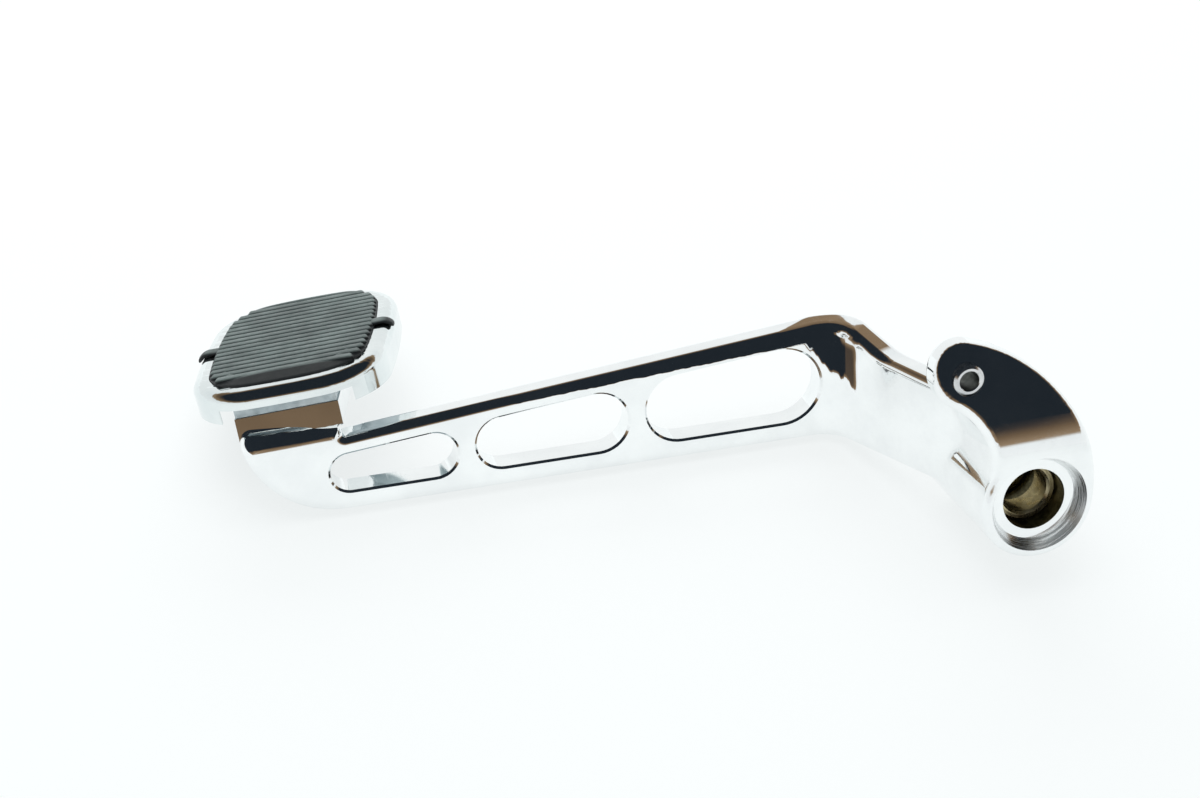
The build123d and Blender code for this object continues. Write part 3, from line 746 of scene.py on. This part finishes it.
def rib_tree():
    """Straight ribs across the pad, each ending on the pad's outline."""
    tree = bpy.data.node_groups.new("pad_rib_rows", "GeometryNodeTree")
    side, corner, _ = pad_arcs(0.0)
    corner_start = side[1] * math.sin(turn_from(side[0], corner[0]))
    inputs = [
        ("Rib Count", "NodeSocketInt", rib_count),
        ("Rib Pitch", "NodeSocketFloat", rib_pitch),
        ("First Rib", "NodeSocketFloat", pad_half_width - near_border - rib_pitch / 2),
        ("Half Length", "NodeSocketFloat", pad_half_length),
        ("Side Radius", "NodeSocketFloat", side[1]),
        ("Corner X", "NodeSocketFloat", corner[0].x),
        ("Corner Y", "NodeSocketFloat", corner[0].y),
        ("Corner Radius", "NodeSocketFloat", corner[1]),
        ("Corner Start", "NodeSocketFloat", corner_start),
        ("End Inset", "NodeSocketFloat", 0.0003),
        ("Root Width", "NodeSocketFloat", 0.0031),
        ("Top Width", "NodeSocketFloat", 0.0023),
        ("Rib Height", "NodeSocketFloat", rib_height),
        ("Edge Round", "NodeSocketFloat", 0.00045),
        ("Finish", "NodeSocketMaterial", None),
    ]
    for label, kind, value in inputs:
        socket = tree.interface.new_socket(label, in_out="INPUT", socket_type=kind)
        if value is not None:
            socket.default_value = value
    tree.interface.new_socket("Geometry", in_out="OUTPUT", socket_type="NodeSocketGeometry")
    entry = put(tree, "NodeGroupInput", (-1800, 0)).outputs
    leave = put(tree, "NodeGroupOutput", (1600, 0))
    link = tree.links.new

    def sum_up(place, operation, first, second=None):
        made = put(tree, "ShaderNodeMath", place, operation=operation)
        for index, value in enumerate((first, second)):
            if value is None:
                continue
            if isinstance(value, float):
                made.inputs[index].default_value = value
            else:
                link(value, made.inputs[index])
        return made.outputs["Value"]

    start = put(tree, "ShaderNodeCombineXYZ", (-1500, 300))
    link(entry["First Rib"], start.inputs["Y"])
    stride = put(tree, "ShaderNodeCombineXYZ", (-1500, 150))
    link(sum_up((-1700, 150), "MULTIPLY", entry["Rib Pitch"], -1.0), stride.inputs["Y"])
    rows = put(tree, "GeometryNodeMeshLine", (-1250, 300), mode="OFFSET")
    link(entry["Rib Count"], rows.inputs["Count"])
    link(start.outputs["Vector"], rows.inputs["Start Location"])
    link(stride.outputs["Vector"], rows.inputs["Offset"])

    row_place = put(tree, "ShaderNodeSeparateXYZ", (-1500, -150))
    row_position = put(tree, "GeometryNodeInputPosition", (-1700, -150)).outputs["Position"]
    link(row_position, row_place.inputs["Vector"])
    row_y = sum_up((-1300, -150), "ABSOLUTE", row_place.outputs["Y"])
    side_square = sum_up((-1300, -300), "MULTIPLY", entry["Side Radius"], entry["Side Radius"])
    row_square = sum_up((-1300, -450), "MULTIPLY", row_y, row_y)
    side_drop = sum_up((-1100, -300), "SUBTRACT", side_square, row_square)
    side_centre = sum_up((-1100, -450), "SUBTRACT", entry["Half Length"], entry["Side Radius"])
    side_half = sum_up((-700, -350), "ADD", side_centre, sum_up((-900, -300), "SQRT", side_drop))
    past_corner = sum_up((-1300, -600), "SUBTRACT", row_y, entry["Corner Y"])
    corner_square = sum_up((-1300, -750), "MULTIPLY", entry["Corner Radius"], entry["Corner Radius"])
    past_square = sum_up((-1100, -600), "MULTIPLY", past_corner, past_corner)
    corner_drop = sum_up((-900, -650), "SUBTRACT", corner_square, past_square)
    corner_root = sum_up((-700, -650), "SQRT", sum_up((-800, -650), "MAXIMUM", corner_drop, 0.0))
    corner_half = sum_up((-500, -600), "ADD", entry["Corner X"], corner_root)
    at_corner = sum_up((-700, -150), "GREATER_THAN", row_y, entry["Corner Start"])
    outline = put(tree, "ShaderNodeMix", (-300, -350), data_type="FLOAT")
    link(at_corner, outline.inputs["Factor"])
    link(side_half, outline.inputs["A"])
    link(corner_half, outline.inputs["B"])
    half = sum_up((-100, -350), "SUBTRACT", outline.outputs["Result"], entry["End Inset"])

    stretch = put(tree, "ShaderNodeCombineXYZ", (100, -250))
    stretch.inputs["Y"].default_value = 1.0
    stretch.inputs["Z"].default_value = 1.0
    link(half, stretch.inputs["X"])
    bar = put(tree, "GeometryNodeCurvePrimitiveLine", (-100, 100))
    fill(bar, Start=(-1.0, 0.0, 0.0), End=(1.0, 0.0, 0.0))
    laid = put(tree, "GeometryNodeInstanceOnPoints", (250, 250))
    link(rows.outputs["Mesh"], laid.inputs["Points"])
    link(bar.outputs["Curve"], laid.inputs["Instance"])
    link(stretch.outputs["Vector"], laid.inputs["Scale"])
    lines = put(tree, "GeometryNodeRealizeInstances", (420, 250))
    link(laid.outputs["Instances"], lines.inputs["Geometry"])
    cut = put(tree, "GeometryNodeResampleCurve", (580, 250), mode="LENGTH")
    fill(cut, Length=rib_step)
    link(lines.outputs["Geometry"], cut.inputs["Curve"])
    upright = put(tree, "GeometryNodeSetCurveNormal", (740, 250), mode="Z_UP")
    link(cut.outputs["Curve"], upright.inputs["Curve"])

    trapeze = put(tree, "GeometryNodeCurvePrimitiveQuadrilateral", (250, -50), mode="TRAPEZOID")
    fill(trapeze, Offset=0.0)
    link(entry["Root Width"], trapeze.inputs["Bottom Width"])
    link(entry["Top Width"], trapeze.inputs["Top Width"])
    link(sum_up((50, -50), "MULTIPLY", entry["Rib Height"], 2.0), trapeze.inputs["Height"])
    eased = put(tree, "GeometryNodeFilletCurve", (420, -50), mode="POLY")
    fill(eased, Count=3)
    link(entry["Edge Round"], eased.inputs["Radius"])
    link(trapeze.outputs["Curve"], eased.inputs["Curve"])

    along = put(tree, "GeometryNodeSplineParameter", (250, -350)).outputs["Length"]
    whole = put(tree, "GeometryNodeSplineLength", (250, -450)).outputs["Length"]
    from_end = sum_up((580, -350), "MINIMUM", along, sum_up((420, -450), "SUBTRACT", whole, along))
    taper = put(tree, "ShaderNodeMapRange", (740, -350), interpolation_type="SMOOTHERSTEP")
    fill(taper, From_Min=-0.0008, From_Max=0.0014, To_Min=0.1, To_Max=1.0)
    link(from_end, taper.inputs["Value"])
    ribs = put(tree, "GeometryNodeCurveToMesh", (920, 150))
    fill(ribs, Fill_Caps=True)
    link(upright.outputs["Curve"], ribs.inputs["Curve"])
    link(eased.outputs["Curve"], ribs.inputs["Profile Curve"])
    link(taper.outputs["Result"], ribs.inputs["Scale"])
    joined = put(tree, "GeometryNodeRealizeInstances", (1100, 150))
    link(ribs.outputs["Mesh"], joined.inputs["Geometry"])
    coated = put(tree, "GeometryNodeSetMaterial", (1280, 150))
    link(joined.outputs["Geometry"], coated.inputs["Geometry"])
    link(entry["Finish"], coated.inputs["Material"])
    link(coated.outputs["Geometry"], leave.inputs["Geometry"])
    return tree


def rib_mesh():
    """Plain mesh of the ribs, from their node tree."""
    holder = bpy.data.objects.new("rib_holder", bpy.data.meshes.new("rib_holder"))
    scene.collection.objects.link(holder)
    rows = holder.modifiers.new("rib_rows", "NODES")
    rows.node_group = rib_tree()
    for item in rows.node_group.interface.items_tree:
        if item.in_out == "INPUT" and item.name == "Finish":
            rows[item.identifier] = pad_rubber
    ready = holder.evaluated_get(bpy.context.evaluated_depsgraph_get())
    mesh = bpy.data.meshes.new_from_object(ready)
    holder.modifiers.remove(rows)
    bpy.data.objects.remove(holder)
    return mesh


def pad_piece(name, mesh, rise):
    """Place a mesh made in the pad's own frame, as a smooth rubber piece on the lever."""
    turn = Matrix((pad_along, pad_across, pad_rise)).transposed().to_4x4()
    mesh.transform(Matrix.Translation(pad_seat) @ turn @ Matrix.Translation((0.0, 0.0, rise)))
    mesh.materials.clear()
    mesh.materials.append(pad_rubber)
    mesh.polygons.foreach_set("use_smooth", [True] * len(mesh.polygons))
    piece = bpy.data.objects.new(name, mesh)
    scene.collection.objects.link(piece)
    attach(piece, "root")
    return piece


rubber = pad_piece("pad_rubber_body", rubber_body(), 0.0)
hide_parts("pad_rubber")
pad_piece("pad_ribs", rib_mesh(), groove_floor)


def lowest_on_table():
    """Height along the table's normal of the pedal's lowest point."""
    heights = []
    for node_name in node_finish:
        for vertex in bpy.data.objects[node_name].data.vertices:
            heights.append(vertex.co.dot(table_up))
    return min(heights)


def pale_table():
    """White table top under the pedal, seen from above only."""
    finish = bpy.data.materials.new("table_white")
    finish.use_nodes = True
    tree = finish.node_tree
    tree.nodes.remove(tree.nodes["Principled BSDF"])
    output = tree.nodes["Material Output"]
    paper = fill(put(tree, "ShaderNodeBsdfDiffuse", (-500, 0)), Color=(0.93, 0.955, 0.955, 1.0))
    glow = fill(put(tree, "ShaderNodeEmission", (-500, -150)), Color=(0.95, 0.98, 0.98, 1.0), Strength=1.0)
    path = put(tree, "ShaderNodeLightPath", (-900, 300))
    seen = put(tree, "ShaderNodeMath", (-700, 300), operation="MAXIMUM")
    tree.links.new(path.outputs["Is Camera Ray"], seen.inputs[0])
    tree.links.new(path.outputs["Is Glossy Ray"], seen.inputs[1])
    share = put(tree, "ShaderNodeMath", (-500, 300), operation="MULTIPLY")
    share.inputs[1].default_value = table_glow
    tree.links.new(seen.outputs["Value"], share.inputs[0])
    top = put(tree, "ShaderNodeMixShader", (-250, 0))
    tree.links.new(share.outputs["Value"], top.inputs["Fac"])
    tree.links.new(paper.outputs["BSDF"], top.inputs[1])
    tree.links.new(glow.outputs["Emission"], top.inputs[2])
    side = put(tree, "ShaderNodeNewGeometry", (-250, 300))
    clear = put(tree, "ShaderNodeBsdfTransparent", (-250, -200))
    one_way = put(tree, "ShaderNodeMixShader", (0, 0))
    tree.links.new(side.outputs["Backfacing"], one_way.inputs["Fac"])
    tree.links.new(top.outputs["Shader"], one_way.inputs[1])
    tree.links.new(clear.outputs["BSDF"], one_way.inputs[2])
    tree.links.new(one_way.outputs["Shader"], output.inputs["Surface"])

    across = table_up.cross(forward)
    middle = table_middle + table_up * (lowest_on_table() - table_middle.dot(table_up))
    corners = []
    for x, y in ((-1, -1), (1, -1), (1, 1), (-1, 1)):
        corners.append(middle + forward * x * table_half_size + across * y * table_half_size)
    mesh = bpy.data.meshes.new("table_top")
    mesh.from_pydata([tuple(corner) for corner in corners], [], [(0, 1, 2, 3)])
    mesh.materials.append(finish)
    table = bpy.data.objects.new("table_top", mesh)
    scene.collection.objects.link(table)


pale_table()


def studio_world():
    """White surroundings low down and behind, a dark room over the photographer's side."""
    world = bpy.data.worlds.new("studio_room")
    scene.world = world
    world.use_nodes = True
    tree = world.node_tree
    background = tree.nodes["Background"]
    toward_front = camera_back - table_up * camera_back.dot(table_up)
    toward_front.normalize()
    way = put(tree, "ShaderNodeTexCoord", (-1300, 0)).outputs["Generated"]
    rise = put(tree, "ShaderNodeVectorMath", (-1050, 150), operation="DOT_PRODUCT")
    rise.inputs[1].default_value = table_up + toward_front * room_lean
    tree.links.new(way, rise.inputs[0])
    room = ramp(
        tree,
        (-750, 150),
        [
            (0.0, (0.93, 0.95, 0.95)),
            (0.27, (0.86, 0.89, 0.9)),
            (0.31, (0.3, 0.21, 0.13)),
            (0.44, (0.15, 0.1, 0.06)),
            (0.52, (0.05, 0.04, 0.035)),
            (0.56, (0.014, 0.019, 0.025)),
        ],
    )
    tree.links.new(rise.outputs["Value"], room.inputs["Fac"])
    path = put(tree, "ShaderNodeLightPath", (-750, 500))
    seen = put(tree, "ShaderNodeMix", (-350, 200), data_type="RGBA")
    seen.inputs["A"].default_value = (0.62, 0.64, 0.65, 1.0)
    tree.links.new(path.outputs["Is Glossy Ray"], seen.inputs["Factor"])
    tree.links.new(room.outputs["Color"], seen.inputs["B"])
    shot = put(tree, "ShaderNodeMix", (-150, 200), data_type="RGBA")
    shot.inputs["B"].default_value = (0.94, 0.975, 0.975, 1.0)
    tree.links.new(path.outputs["Is Camera Ray"], shot.inputs["Factor"])
    tree.links.new(seen.outputs["Result"], shot.inputs["A"])
    tree.links.new(shot.outputs["Result"], background.inputs["Color"])
    background.inputs["Strength"].default_value = 1.0


studio_world()


def soft_box(name, place, size, power):
    """Rectangular soft light aimed at the middle of the pedal, kept out of the chrome."""
    lamp = bpy.data.lights.new(name, "AREA")
    lamp.shape = "RECTANGLE"
    lamp.size = size[0]
    lamp.size_y = size[1]
    lamp.energy = power
    box = bpy.data.objects.new(name, lamp)
    box.location = place
    box.rotation_euler = (Vector(place) - pedal_middle).to_track_quat("Z", "Y").to_euler()
    box.visible_glossy = False
    scene.collection.objects.link(box)


soft_box("back_soft_box", (0.0, -0.9, 0.85), (1.2, 0.8), 8.0)
soft_box("overhead_soft_box", (0.25, 0.1, 1.2), (1.0, 1.0), 6.0)

camera_data = bpy.data.cameras.new("shot_camera")
camera_data.sensor_fit = "HORIZONTAL"
camera_data.sensor_width = 36.0
camera_data.lens = camera_lens
camera = bpy.data.objects.new("shot_camera", camera_data)
axes = Matrix((camera_right, camera_up, camera_back)).transposed()
camera.matrix_world = Matrix.Translation(camera_place) @ axes.to_4x4()
scene.collection.objects.link(camera)
scene.camera = camera
